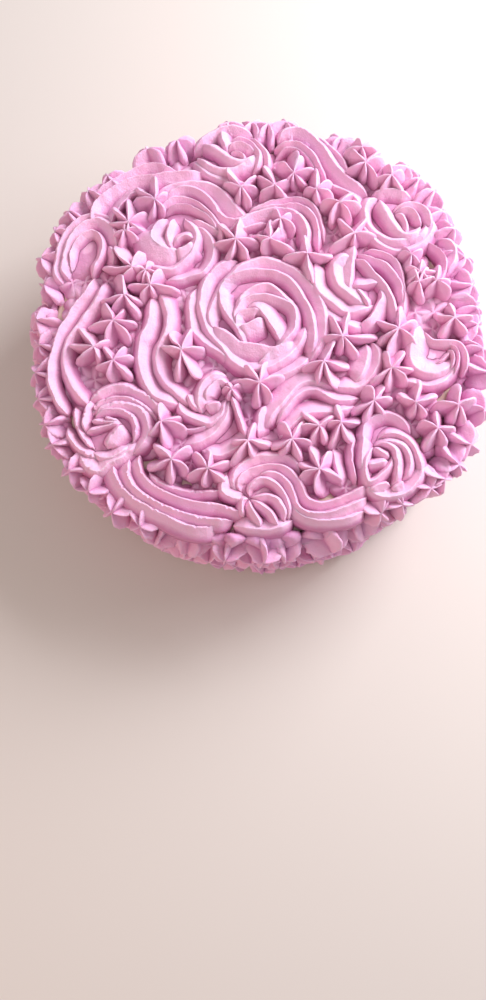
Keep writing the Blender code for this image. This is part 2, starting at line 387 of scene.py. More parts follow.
def smooth_line(places):
    """Evenly spaced points on a Catmull-Rom curve through these places."""
    p = np.array(places, float)
    p = np.concatenate([[2 * p[0] - p[1]], p, [2 * p[-1] - p[-2]]])
    t = np.linspace(0, 1, 24, endpoint=False)[:, None]
    runs = []
    for a, b, c, d in zip(p, p[1:], p[2:], p[3:]):
        square, cube = 2 * a - 5 * b + 4 * c - d, 3 * b - a - 3 * c + d
        runs.append(0.5 * (2 * b + (c - a) * t + square * t**2 + cube * t**3))
    line = np.concatenate(runs + [p[-2:-1]])
    lengths = np.linalg.norm(np.diff(line, axis=0), axis=1)
    far = np.concatenate([[0], np.cumsum(lengths)])
    even = np.linspace(0, far[-1], max(8, int(far[-1] / STEP)))
    return np.stack([np.interp(even, far, line[:, k]) for k in range(line.shape[1])], -1)


# %% [markdown]
# Seen from above, a swirl is a nest of petals: each ridge of the nozzle leaves one crest
# line with a soft face on its inner side and a steeper one outside. So a swirl is drawn
# by its crests. Each is a line of places (x, y) that runs anticlockwise, with the soft
# face on its left, and stands on the coat with its own height. Its ends dive under the
# neighbours. The faces cut into each other, and where they meet there is a sharp groove,
# as in real cream.

# %% A petal along its crest line
TAPER = 7.0  # both ends taper over this length, or over a quarter of a short petal
DIVE = 4.0  # how deep the ends dive
ROOT = 6.5  # how far the outer face goes down
FALL = 4.4  # how far the broad face goes down
HAND = 0.35  # how much the crest waves, as the hand speeds up and slows down
BROAD = (0.0, 0.05, 0.14, 0.3, 0.5, 0.72, 0.9, 1.0)  # shares of the way down the broad face
STEEP = (1.0, 0.6, 0.25, 0.06)  # and up again on the steep one
# Ridge values, which set the painted light: down the broad face, under the petal, and up
# the steep face, from a painted highlight on the crest to painted shade in the groove
RIDGE_PAINTED_LIGHT = (1.0, 0.86, 0.74, 0.62, 0.48, 0.24, 0.06, 0.0, 0.0, 0.0, 0.0, 0.05, 0.45, 0.8)


def petal(places, height, seed, broad, steep, hollow, torn):
    """A petal of cream under a crest line, with a broad and a steep face of these widths.

    The broad face bulges when hollow is 0, and is scooped out when it is 1. torn is how
    ragged the crest is, in millimetres.
    """
    dice = np.random.default_rng(seed)
    line = smooth_line(places)
    count = len(line)
    t = np.linspace(0, 1, count)
    end = max(TAPER / (STEP * count), 0.02)
    inside = np.clip(np.minimum(t, 1 - t) / min(end, 0.25), 0, 1)
    lift = height - DIVE * (1 - inside) ** 2
    narrow = 0.2 + 0.8 * np.sqrt(1 - (1 - inside) ** 2)
    along = np.gradient(line, axis=0)
    along /= np.linalg.norm(along, axis=1)[:, None]
    left = np.stack([-along[:, 1], along[:, 0]], -1)
    slow = np.convolve(dice.normal(size=count + 14), np.hanning(15) / 4, "valid")
    # Stiff cream tears at its edge
    teeth = np.maximum(dice.normal(size=count), -0.3) * torn
    lift = lift + HAND * slow
    across, down = [], []
    for u in BROAD:
        across.append(broad * u * narrow + teeth * (1 - u) ** 8)
        bulging, scooped = 0.16 * u**0.5 + 0.84 * u**1.5, 1 - (1 - u) ** 1.8
        drop = FALL * (bulging + hollow * (scooped - bulging))
        down.append(drop + np.abs(teeth) * (1 - u) ** 8)
    across += [broad * narrow + 0.8, 0.8 - steep * narrow]
    down += [lift, lift]
    for u in STEEP:
        across.append(-steep * u**0.7 * narrow + teeth * (1 - u) ** 3)
        down.append(ROOT * u + np.abs(teeth) * (1 - u) ** 3)
    across = np.stack(across, -1)
    down = np.minimum(np.stack(down, -1), lift[:, None] + 1)
    sideways = line[:, None, :] + left[:, None, :] * across[..., None]
    upwards = (TOP + lift[:, None] - down)[..., None]
    rings = np.concatenate([sideways, upwards], -1)
    # One seed for all petals, so that neighbours move together
    flat = swell(rings.reshape(-1, 3), 12.0, 0.3, 9)
    return skin(flat.reshape(rings.shape), np.tile(RIDGE_PAINTED_LIGHT, (count, 1)))


def drawn(crests, seed, torn, hollow):
    """The petals of one piece, from its crest lines."""
    made = []
    for number, (text, height, broad, *outer) in enumerate(crests):
        steep = outer[0] if outer else min(max(0.7 * broad, 2.0), 4.2)
        places = read_places(text)
        made.append(petal(places, height, seed + number, broad, steep, hollow, torn))
    return made


# %% [markdown]
# These are the crests of the swirls, place by place. Behind the places stand the height
# over the coat, the width of the broad face and, where it isn't 0.7 times that, the width
# of the steep face, all in millimetres.

# %% Crests of the swirls
SWIRLS = {
    "swirl_centre": (
        ("25,-19 30,-13 33.5,-5 34,4 32.5,12 28.5,19.5 22,26.5 14,31.5 7,33.3 "
         "-2,31 -5,29.3 -9,26 -13,21 -15.5,17 -18,12 -19.5,7.5 -19,3.5 -16,0", 9, 6),
        ("-4,35 -12,33 -18,28 -21.5,22 -23,15 -23,10 -22,5 -20.5,0 -17,-5 "
         "-14.3,-9 -12,-14 -8,-18 -3,-20.5 5,-20.5 12,-18 18,-14 23,-8 25,-1", 9, 6),
        ("26,-17 28,-10 28.5,-2 27.5,5 24.5,13 21,20 14,25.5 5,28 -4,27.5 -10,25 "
         "-13.5,20", 9.9, 4.5),
        ("-11,23.5 -13.3,20 -13.8,17 -13.5,13 -11.5,8 -9.5,4.5 -7.5,1 -6.5,-2.5 "
         "-5,-6 -3,-9", 10.08, 7, 3),
        ("20,5 19.5,9 17,12 13,17 9,20 4,19.5 0,18 -3,15.5 -5,12.5 -6,9 -8,6", 9.9, 5, 3),
        ("9,-12 12,-10.7 15.5,-8 19,-4.5 20.7,0 21,4 20.3,7 18.5,9.2 15,11.5 "
         "10,13.7 5.5,14.8 1,14.8 -3.5,12.8 -5.5,10.3 -7.3,7 -7.6,3.5 -7,0", 10.5, 4.5, 3),
        ("18,-6 15,-8.7 11,-11 8,-11.5 3.5,-9.7 -1,-8.7 -6,-7.3 -9.5,-4 -13,-0.7 "
         "-16,1.2 -19,3.5", 9.9, 9, 2.2),
        ("-2,9.7 1.5,9.5 4,7.5 6.5,4 8.5,0 10.5,-4 13,-9.5", 10.8, 7, 2.2),
        ("5,4.5 3.5,7.3 0,8 -3.5,7.7 -6,6.3 -7.3,3 -7,-1", 10.5, 5, 2),
        ("6,4 3.8,3.2 0,2 -3.5,0.8 -7.5,-0.7", 10.8, 9, 2),
        ("18,-6 16,-8 11,-11 7,-13.5 2,-17.5 0,-20", 9.3, 8, 2),
        ("2,-24 8,-25.5 14,-24 20,-21 26,-16", 7.8, 6),
        ("-24,24 -27,19 -28.5,13 -28.5,7 -28,2 -25.5,-2 -22,-6 -18,-9 -13,-13.5 "
         "-8,-18", 8.1, 6),
    ),
    "swirl_back": (
        ("13,78.4 14.9,81.2 15.5,84.6 14.8,88.1 13.2,91.4 11.3,94.3 9.1,96.9 "
         "6.1,98.6", 8.88, 4, 3),
        ("7.5,78.7 10.1,81.8 11.4,85.1 11.4,88.5 10.1,91.8 8.2,94.7 5.6,96.7 "
         "2.6,97.7 -0.6,97 -3.6,95", 9.6, 4, 2.5),
        ("-19.2,91.2 -16.3,88.2 -13.4,85.4 -10.1,83.4 -6.8,82.1 -3.3,81.5 "
         "-0.2,82.1 3,83.1 6.3,84.6 9,86.9 10,89.1", 9.78, 2.5, 6),
        ("-15.5,97.5 -12.3,95 -9,93 -6.4,90.8 -4.2,88.2 -1.6,86 1.8,84.7 "
         "4.9,84.8 7.5,86.7 9.3,89", 10.38, 3.5, 6),
        ("10,99 4,103 -2,105 -8,104 -13,101.5 -16.5,99 -20,95", 8.7, 6),
        ("-5.5,103.5 -5.8,99 -4.9,95.3 -3.5,91.5", 10.2, 5),
        ("9.4,89.6 7.6,91.7 5.3,93.4 2.7,94.6 -0.1,94.8 -2.3,93.8 -3.5,91.7", 10.68, 4.5, 2),
        ("4.1,85 3.6,87.2 2.4,89.1 0.5,90.1 -1.6,90.1 -3,89.2", 10.8, 2.5, 2.5),
        ("-21,90 -17,84 -11,79 -4,76 3,76.5", 8.1, 7),
    ),
    "swirl_back_right": (
        ("57,50 57.5,44 61,37.5 66,33 72,30.5 79,31 85,34 89,39 90.5,46", 8.4, 5.5),
        ("66,59.6 61.2,56.8 59.1,52.1 58.9,46.9 60.9,42.5 64.6,38.6 68.4,36.2 "
         "72.8,35.1 78,35.3 82.6,36.5 85.7,39.9 86.2,43.6", 9.72, 3, 5.5),
        ("66.3,58.5 67,54.2 68.4,50.3 70,46.3 71.9,41.9 73.9,38.6 76.3,36.9 "
         "79.2,37.1 81.9,39.2 83.9,42", 10.44, 3.5, 6),
        ("87.9,40.4 88.6,43.7 88.1,46.8 86.9,49.4 84.7,51.7 81.8,53 78,53.3 "
         "74.5,52.2 71.8,50.2", 10.08, 5, 3),
        ("84.1,41.8 83.4,44.7 82.3,47.3 80.8,49.1 78.9,50.4 76.5,50.7 74.4,50.3 "
         "72.6,49.4", 10.8, 4, 2),
        ("75.3,37.9 76.3,39.9 76.6,42.5 76.2,45.2 75.2,47.2 73.7,48.3 72.2,48.7", 10.8, 2.5, 3),
        ("82,57 76,60.5 69,62 63,61", 9.3, 5),
    ),
    "swirl_back_left": (
        ("-40,28.5 -33,27.5 -26,29 -20.5,30 -16.2,35.4 -14.8,39.8 -14.8,42.9 "
         "-15.8,46.4 -17.3,49.7 -19.3,52.2 -21.3,53.4 -24.5,55", 9, 5, 3.5),
        ("-48.1,37 -45.4,35.7 -42,33.7 -37.8,32.5 -34.2,32.5 -31.3,34.1 "
         "-28.2,36.8 -25.5,39.6 -23.5,43.1 -22.3,47.2 -22.6,50.7 -24.1,53.9 "
         "-26.4,56.9 -27.9,60.1", 9.9, 4, 4.2),
        ("-30,42.4 -32.4,42.6 -34.2,42.8 -37,43.5 -40.1,45 -42.1,46.8 -43.7,49.3 "
         "-43.7,51.9 -42.2,54.8", 10.5, 10, 2),
        ("-34.8,58.6 -36.6,59 -39.5,57.6 -42.2,54.8 -43.7,51.9 -43.7,49.3 "
         "-42.1,46.8 -40.1,45 -37,43.5 -34.2,42.8", 10.5, 7, 2),
        ("-32.3,59.2 -34.7,55.5 -36,51.8 -36.4,48.8 -35.8,45.6 -34.2,43", 10.8, 5, 2.5),
        ("-34,44.5 -32.1,46.4 -29.5,48 -26.7,48.5 -23.2,47.3", 10.8, 4.5, 2),
        ("-23.6,45.9 -27,43.5 -30.7,42.4 -34,42", 10.5, 8, 1.8),
        ("-9.9,48.1 -12.3,50.7 -14.9,52.8 -19,55.6 -22.5,56.8 -26,57.5", 9, 4.5),
        ("-11,42 -10,49 -11.5,54 -14.2,58.8 -17.5,63 -21.3,66.7 -25.6,69 "
         "-30.7,70 -35.5,68 -40,63", 9.36, 3.5),
        ("-12,47 -12.8,53 -15.5,58 -20,62 -25.5,65 -32,66 -37,63", 9.12, 3),
    ),
    "swirl_left_arch": (
        ("-60,60 -66,65 -73,66.5 -79,65 -84,61 -87.5,56 -90,50 -91,44 -91.5,37 "
         "-89,33", 8.1, 5),
        ("-61.5,47 -61.5,53.5 -63,57.2 -65.4,60.8 -69,63.2 -73.8,62.8 -78,61 "
         "-81,58 -84,54 -85.5,50 -87,45 -88,39 -86,35", 9.3, 5.5),
        ("-74,34 -72,38.5 -69.3,43 -67.8,48 -68,52.5 -70,56 -73,57 -77,55.8 "
         "-80,53 -82.5,49.5 -84,44 -84.5,38.5", 9.9, 3.5),
        ("-64,38 -63,43 -64,47 -66,50", 8.4, 4),
    ),
    "swirl_right": (
        ("33,30 32,24 31.5,18 32.5,14 34.4,11.7 37.4,8.5 40.2,5.7 43.3,2.9 "
         "47.4,1.7 51.7,2.8 54.9,3.7 58,6", 9.3, 6.5),
        ("51,30.5 49,29.5 45.7,30 42.2,28 40.9,25.5 40.8,21.4 41.8,16.3 "
         "44.8,12.2 47.9,9 52.8,5.2 55.5,3.5", 10.2, 8, 4.5),
        ("47.4,11.5 47.3,13.9 48.2,18.4 49.2,24.5 50.7,30.2 52.2,36.6", 10.38, 6, 2.5),
        ("66.2,-5 66.4,0 65.9,6 64.5,10.4 63,13.8 61,16.9 59,19.7 57.2,23.2 "
         "55.2,26 52.3,28 50,30.5", 10.5, 4, 3),
        ("70.5,3 70.9,9 70.6,14 67.6,20.5 64.2,24.9 60.6,26.9 56,29.5 52,31.5", 9.78, 4, 2.5),
        ("69,-4 71.2,2 72.2,7.4 72.1,13.6 71.7,20 70,25.5 66.6,28.8 61.2,31.9 "
         "55,32.5", 8.7, 3.5, 3),
        ("47.5,14 55.3,13.9 61.5,15.4", 10.8, 6, 2),
        ("50,14 50.8,12 53.1,7.6 55.3,3.5", 10.5, 3, 2),
        ("61.5,13 61.3,10.7 61.1,7.8 58.8,4.3 56.9,0.8 54.2,-2.5 49,-4.8", 9.9, 6, 2),
        ("31,14 33,6 37,1 42,-2.5 48,-5 54,-4.5", 8.1, 6),
    ),
    "swirl_right_rim": (
        ("78,-7 74.5,-11 72,-16.3 70.9,-21.9 72,-26.5 75,-30 79.4,-31.8 84,-31 "
         "88.5,-28.3 90,-24", 9.3, 9),
        ("66,-31 70,-34.3 75,-36.3 80,-36.8 85.6,-34.6 90,-30 92.5,-24", 8.1, 5),
        ("94,-33 96,-28 96,-22.5 94,-18.5 91,-17 86,-16.6 81.5,-15 79,-10", 9.6, 3.5),
        ("89.5,-32.5 91.8,-28 92.5,-23 91,-19.5 88.5,-18.3", 9.9, 1.8),
        ("87.5,-31 89.8,-27 90.2,-23 88.5,-20", 10.08, 1.8),
        ("81,-26.5 84,-26 87.5,-23.5 89.5,-21", 9.3, 2),
    ),
    "swirl_front_left": (
        ("-45,-40 -45.6,-36.4 -47.4,-32.8 -51,-28.3 -55.8,-25.7 -59.4,-22.8 "
         "-64.2,-21.4 -69.6,-22 -75,-24.6 -79.2,-28.4", 8.4, 5.5),
        ("-47,-41 -50,-36.5 -55.2,-31.6 -60.6,-28.5 -66,-27.6 -71.4,-28.4 "
         "-75.6,-30.6 -78.5,-35", 9.3, 3.5),
        ("-60,-55 -54,-50.5 -51.5,-45 -52,-39 -55,-34.5 -60,-31.8 -66,-30.9 "
         "-72,-32 -77,-35.5", 9.72, 5),
        ("-60,-50 -57.5,-46 -57.4,-41 -59.2,-37 -63,-34.4 -68,-33.2 -73,-33.8 "
         "-78,-36.5", 10.2, 3),
        ("-78.6,-36.8 -75,-38.5 -69,-39.6 -64,-40", 10.5, 3),
        ("-72,-36 -69.5,-38 -65,-39.5", 10.8, 2),
        ("-81,-43.5 -76,-42.5 -69,-41 -64,-40.2", 10.5, 3),
        ("-63.5,-40.8 -66.5,-44 -69.6,-47 -71.5,-51", 10.8, 7),
        ("-86,-29 -85.3,-36 -84,-42 -81,-47.3 -77.5,-51", 8.7, 3),
        ("-78,-27 -80.4,-32.2 -81.5,-37 -81,-43", 9.6, 3.5),
        ("-90,-38 -89.5,-43 -87,-47.5 -81.6,-52.6 -75,-56", 7.8, 4),
        ("-85,-52 -82.5,-57.5 -79,-60.5 -75,-61 -70.5,-58.3 -65,-56 -60,-52.5 "
         "-56.5,-48", 8.1, 8),
        ("-79,-52 -74,-55.5 -69,-55.5 -64,-53 -60.5,-50", 9, 5),
    ),
    "swirl_pressed": (
        ("-14,-22 -19.8,-21.5 -24.6,-24.6 -27.3,-30 -27.8,-35.5 -26.5,-39", 9.9, 9),
        ("-33,-29 -31,-34 -28,-37.5", 9.3, 4),
        ("-37,-31 -36.3,-36.6 -33,-40.2 -28.2,-42.8 -24,-44.5 -20.5,-43.2 "
         "-17.5,-40.5 -15.8,-36 -14,-32", 9.3, 4.5),
        ("-38,-44.5 -34,-46.3 -28,-46 -23,-44.6", 8.4, 2),
        ("-37,-53 -31,-53.3 -26,-51.7 -21,-48.7 -17,-44.5 -14.5,-39 -13.5,-33", 9, 6.5),
        ("-29,-56 -25,-58 -21,-59.5 -16,-58.3 -11,-55.8 -7.5,-52 -7,-46", 8.4, 6),
        ("-12.6,-30.5 -11.2,-37 -9.8,-44 -8,-51 -7,-55", 10.8, 2.2),
        ("-16.5,-36 -21,-35.5 -25.5,-36.5", 10.2, 5),
        ("-13,-27 -17,-24.5 -21,-27 -24,-31 -24,-35", 10.5, 5),
    ),
    "swirl_front_right": (
        ("47,-55.9 45.2,-58.6 44.2,-62.6 43.6,-66.6 43.3,-70.3 43.1,-74 "
         "43.3,-77.1 44.8,-79.6", 9.36, 5, 3.5),
        ("49.2,-62.4 47.2,-65.3 45.6,-68.8 44.6,-72.1 44.4,-75.5 45.1,-78.6 "
         "47.6,-78.2 50.8,-76.2 53.4,-74 55.3,-71.9 56.6,-69.3 57.3,-67", 10.44, 2, 4.5),
        ("44.7,-71.3 48.5,-70.8 51.9,-70.3 55.2,-70", 10.56, 3, 4),
        ("49.3,-62.6 50.3,-64.2 52.4,-66.1 54.5,-67.5 56.2,-68.4", 10.56, 3, 4),
        ("55.1,-81.5 57.1,-78.8 58.1,-75.5 58.6,-71.9 58.7,-68.1 58.2,-65.4 "
         "56.6,-63.4 54.2,-62 51.6,-61.7 49.6,-62.1", 10.56, 2, 5),
        ("60.3,-79.2 62.5,-77 63.9,-73.8 64.4,-70.4 63.9,-67.3 62.4,-64.6 "
         "60.2,-62.7 57.5,-61.6 54.6,-60.9 51.3,-61", 10.2, 2, 4.5),
        ("67.3,-78.5 68.6,-75.3 68.6,-71.5 67.9,-67.7 66.7,-64.4 64.4,-61.1 "
         "61.5,-58.6 58,-57.4 54.4,-57.7 51.5,-59.3", 9.6, 2.5, 4.5),
        ("67,-58 65.5,-54 62,-50 57,-47.8 51.5,-48.7 47,-51.5 45,-57 44.5,-63", 8.7, 5),
        ("61.2,-79.9 58.9,-80.4 56.7,-81.8 54.6,-83.3", 9.3, 5, 2),
        ("55.1,-81.5 52.7,-80.1 49.7,-80.4 46.9,-81.5 44.4,-83", 9.6, 5, 2),
        ("43.5,-77 46,-82.5 51,-85.5 58,-85.5 64.5,-82.5 69,-77 70,-70", 8.4, 5),
    ),
    "swirl_front": (
        ("8,-92 8.5,-86 7,-80.5 4,-75.5 0,-72.7 -4,-73 -8,-76 -8.5,-80", 10.5, 3.5),
        ("6,-93 6.5,-88 4,-83 0,-80.5 -4,-80.5 -8,-80", 10.68, 3.5),
        ("3,-95 1,-89 -2,-85.5 -5,-83 -8.3,-81", 10.68, 3.5),
        ("-5.5,-95 -5,-92 -6.5,-89 -8.3,-85 -8.8,-81", 10.5, 3.5),
        ("15,-72 14,-67 10,-63 4,-62 -2,-61.5 -8,-63 -13,-67 -15.5,-72 -14,-78", 8.1, 6),
        ("-18,-68 -20,-73 -20,-77 -15.5,-80 -9,-80.5", 9, 5),
        ("-12,-89 -12.4,-85 -11.5,-81.5 -9,-80.5", 9.9, 3),
        ("-17,-92 -10,-94 -3,-95.5 4,-95 10,-92", 8.1, 7),
    ),
}

# %% [markdown]
# Under the petals of a swirl lies a low mound of cream, a little smaller than the crests,
# so that nobody looks down to the coat between them. The petals at the front left are
# more torn than the others.

# %% Swirls
CORE_HEIGHT = 5.6
CORE_ROWS, CORE_COLUMNS = 12, 40
# The mound's low ridge value paints it near the groove colour: painted shade under the petals
CORE_PAINTED_SHADE = 0.15


def core(crests):
    """The mound of cream under the petals of a swirl."""
    places = np.array([place for text, *_ in crests for place in read_places(text)])
    middle = (places.max(0) + places.min(0)) / 2
    around = np.linspace(0, math.tau, CORE_COLUMNS, endpoint=False)
    apart = places - middle
    directions = np.arctan2(apart[:, 1], apart[:, 0])
    near = np.cos(directions[None, :] - around[:, None]) > 0.93
    reach = np.where(near, np.linalg.norm(apart, axis=1)[None, :], 6.0).max(1) - 2.5
    reach = np.mean([np.roll(reach, k) for k in (-2, -1, 0, 1, 2)], axis=0)
    rings = []
    for rise in np.linspace(-0.3, math.pi / 2 * 0.97, CORE_ROWS):
        out = reach * math.cos(rise) ** 0.5
        x, y = middle[0] + out * np.cos(around), middle[1] + out * np.sin(around)
        z = np.full(CORE_COLUMNS, TOP + CORE_HEIGHT * math.sin(rise))
        rings.append(np.stack([x, y, z], -1))
    return skin(np.array(rings), np.full((CORE_ROWS, CORE_COLUMNS), CORE_PAINTED_SHADE))


for number, (name, crests) in enumerate(SWIRLS.items()):
    torn = 0.35 if name == "swirl_front_left" else 0.12
    skins = [core(crests)] + drawn(crests, 500 + 20 * number, torn, hollow=0.1)
    piece(name + "_cream", skins, TOP_CREAM, name)
print(len(SWIRLS), "swirls with", sum(map(len, SWIRLS.values())), "crests")

# %% [markdown]
# Ribbons are short lines laid in bends between the swirls, drawn by their crests too. The
# inner edge has its broad face on the other side, so that the two rows of crests enclose
# a groove.

# %% Crests of the ribbons
RIBBONS = {
    "ribbon_back_left": (
        ("-16,83 -22.6,82.8 -29.1,83.2 -35.7,83.2 -40.6,82.9 -45.5,83.2 "
         "-49.1,83.4 -52.1,82.5 -55.4,81.5 -58.8,80 -62.2,78.2 -65.6,76.1 "
         "-68.8,73.4 -71.5,69.5 -72.5,65 -71,61", 9.3, 6.5, 2),
        ("-65,57 -62.5,62 -59.5,67 -56.2,70.8 -54.4,72.8 -52.3,74.5 -49.7,75.2 "
         "-46.7,74.8 -43.5,74", 8.88, 5.5, 1.5),
        ("-29,85.9 -33.7,87.7 -36.9,89.2 -40.8,90.2 -44.4,90.5 -47.4,89.4 "
         "-50.4,88.6 -53.4,87.1 -57.1,85.8 -60.5,83.5 -64.3,81.5 -67.7,79.8 "
         "-72,75.5", 8.1, 5.5, 2),
        ("-15,77 -22,78 -30,78.5 -38,78.5", 7.5, 4),
    ),
    "ribbon_wave": (
        ("3,56 -1,60 -5,66 -9,71 -14,75 -21,77 -29,77.3 -36,75.5 -41,71", 8.7, 8),
        ("8,58 2,56.5 -3,55 -8,56.5 -10.8,60 -12.3,64 -15,68 -19,72 -23.5,74.5 "
         "-28,75 -33,73 -38,69", 9.3, 4),
        ("38,40 37.5,48 36.5,54.5 33,60 28,62.7 22,63.3 14,62 7,60 2,57.5", 8.7, 4),
        ("35,36 35.5,45 34.5,52 31,57 26,59.3 19,59.6 12,59.5 5,57.5", 9.3, 3.5),
        ("29.5,36 30.5,45 29,51 26,55 21,57.7 14,58.5 6,57 -2,53.5 -8,49", 9.3, 5),
        ("-8,47 -2,50 5,51.5 13,53.5", 7.8, 4),
    ),
    "ribbon_back_right": (
        ("61,61 57,66 52,71 49,75.5 46,81 43.3,87 39.5,93 34.5,98 29.5,100 "
         "24.5,99 21,95", 9, 6),
        ("43,70 41,74 39.5,79 37.3,84.5 34,88.7 29.5,91.7 24.5,92.3 19,91", 9.78, 4),
        ("19,86 24,89.4 29,89 33,85.3 36.2,80 38.6,74", 8.7, 2),
        ("56,70 53,75 51,81 47.5,87 43,92.5 38,97", 7.5, 5),
        ("42,71 46,67 51,63.5 55,59.5 58,54.5", 8.7, 4),
    ),
    "ribbon_left": (
        ("-73,34 -76.4,27.6 -80.6,22.8 -84.8,17.4 -89,10.8 -92.6,4.2 -94.2,-1.2 "
         "-95.8,-5.5 -96.5,-11 -96.5,-17 -95,-23 -92.6,-28.8 -89.6,-32.4", 9.3, 4.5),
        ("-79,-30 -82.5,-26 -85.6,-21.5 -87.8,-16.8 -89.2,-12 -89.6,-7 -89,-2 "
         "-86.8,3.5 -82.6,9 -78.4,14.5 -73.6,20.5 -70,26.5 -68,32", 9, 3, 6),
    ),
    "ribbon_inner_left": (
        ("-46,22 -46.4,18.6 -47.6,11.4 -49.4,5.4 -52.4,-0.6 -53.9,-6.6 "
         "-53.9,-12.6 -52.7,-19.8 -50,-25.8 -46.4,-30 -41.6,-32.4 -36,-33.5", 9.3, 6),
        ("-31,-35 -35,-32 -39,-27.5 -43,-22.5 -45.5,-17 -46.2,-11 -44.5,-5 "
         "-41.8,0 -39.6,6 -39.2,11 -40.4,16.5 -43,23.5", 8.88, 3, 7),
    ),
    "ribbon_front_left": (
        ("-24,-92 -32,-91.8 -39,-89.5 -46,-85.5 -52,-81.5 -58.5,-77 -64,-72 "
         "-67.5,-67 -69,-62 -69,-57", 8.1, 6, 1.8),
        ("-17,-90 -25,-88.5 -33,-86.5 -40,-84 -47,-80.5 -53,-76.5 -58,-72.3 "
         "-61.5,-67.5 -62.5,-62 -62,-56", 9, 5.5, 1.5),
        ("-11,-88 -17,-84.5 -24,-82 -31,-80.8 -38,-78.3 -44.5,-75 -50.5,-71 "
         "-55,-66.5 -57.3,-61 -57,-55", 9, 5.5, 1.5),
        ("-20,-76 -27,-75.8 -34,-75.2 -40,-73.8 -46,-71 -51,-67.5 -53.5,-63.5", 8.1, 4),
    ),
    "ribbon_front_right": (
        ("46,-79 39,-82 32.4,-84.3 26.5,-85.8 21.4,-85.5 17.5,-83 15.7,-78.3 "
         "13.3,-73 9.6,-69 4.5,-66.7 -1.4,-66.5 -7,-67.7 -11.7,-70.2 -13.5,-74 "
         "-12,-78", 9, 5, 2),
        ("44,-85 36,-88 28.7,-90.2 21.4,-90.8 15.5,-89 12.5,-85.6 11.5,-80.5 "
         "9.2,-74.6 5.2,-71 0,-70 -5,-71.5", 9.6, 5, 1.8),
        ("42,-91 34.6,-93.5 27.2,-94 20,-93.3 14,-91 10.5,-87 9,-82", 8.4, 4),
    ),
    "ribbon_hook": (
        ("33,-32 39,-33.3 45,-33.8 50,-31.5 54,-27.5 56.3,-22.5 56.5,-17.5 "
         "54,-12", 8.4, 6),
        ("44,-32 47.7,-28.7 50.3,-24 51.8,-18.5 52,-13", 8.88, 8),
        ("1,-49 5.5,-43.5 10,-39 13.8,-34.8 17.8,-31 23,-29.2 29,-30.5 35,-33", 8.7, 8),
        ("7,-47 12,-41 17,-35.8 21.5,-33.3 26,-33.3 30,-36 34.5,-39 40,-39.8 "
         "46,-38.5", 8.82, 5),
        ("8,-54 12.6,-50 18,-45.5 23,-43.6 30,-44.2 37,-44.3 44,-42", 8.4, 6),
        ("3,-37.5 0,-42 -1.5,-47 -2,-53", 8.4, 5),
    ),
    "ribbon_stub": (
        ("31.3,-60 31.8,-70 33.5,-79", 8.1, 4.5),
        ("40,-79 39,-71 39.5,-62 42,-56", 8.7, 2.5),
        ("45,-78 44,-70 44.5,-62 47,-56", 8.4, 4),
    ),
    "ribbon_rim": (
        ("93,17 97,22.5 98.5,28 97,33 92,36", 7.5, 5),
        ("86,10 89.5,14 92.5,19 93.3,23.5 91.5,28 88.5,32 85,35.5", 8.4, 3),
    ),
}

# %% [markdown]
# The faces of a ribbon are a little more scooped out than those of a swirl.

# %% Ribbons
for number, (name, crests) in enumerate(RIBBONS.items()):
    torn = 0.45 if name == "ribbon_front_left" else 0.14
    petals = drawn(crests, 900 + 20 * number, torn, hollow=0.4)
    piece(name + "_cream", petals, TOP_CREAM, name)
print(len(RIBBONS), "ribbons with", sum(map(len, RIBBONS.values())), "crests")

# %% [markdown]
# The stars on top stand where the frame has them. For each, the middle is given and then
# the tips of its fins, all as they appear from the camera on one level, in millimetres.

